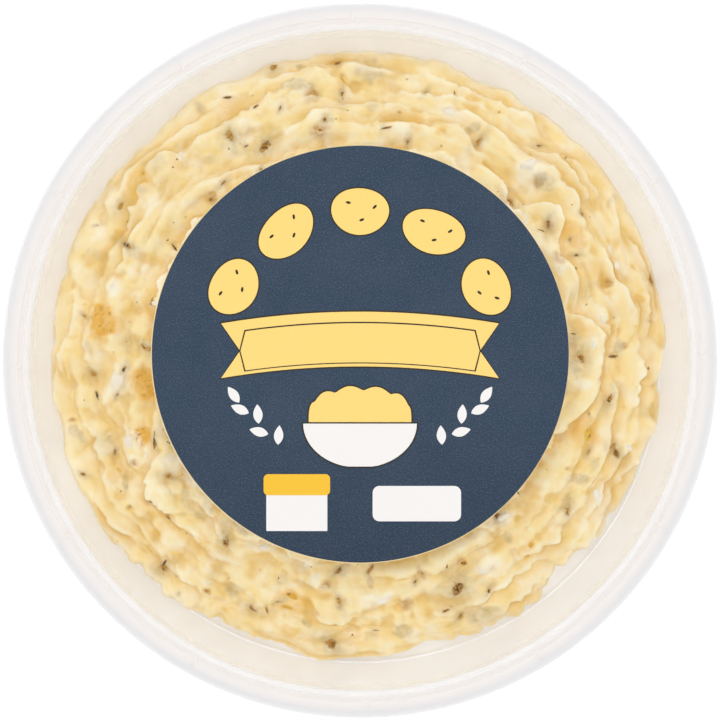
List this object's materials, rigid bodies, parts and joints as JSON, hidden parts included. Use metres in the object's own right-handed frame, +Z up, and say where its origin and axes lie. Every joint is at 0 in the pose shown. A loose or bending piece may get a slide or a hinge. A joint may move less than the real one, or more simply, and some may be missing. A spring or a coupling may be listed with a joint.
{
  "type": "potato salad",
  "caption": "Creamy potato salad heaped in a shallow round milky tub, shut by a clear press-fit lid with a round printed label on top.",
  "frame": {"origin": "on the surface the tub stands on, under the middle of the tub", "axes": "+Z up, out of the lid; +Y towards the top of the label, +X to its right"},
  "size_m": [0.17, 0.17, 0.0448],
  "materials": {
    "tub_plastic": "milky, satin polypropylene that light shines through",
    "potato_salad": "moist cream-coloured dressing with yellow, white and olive pieces",
    "lid_plastic": "clear polypropylene, hazy at its thick rim",
    "label_print": "dark blue printed label, satin"
  },
  "bodies": {
    "root": {"tub": "tub_plastic", "salad": "potato_salad", "lid": "lid_plastic", "label": "label_print"}
  },
  "joints": []
}
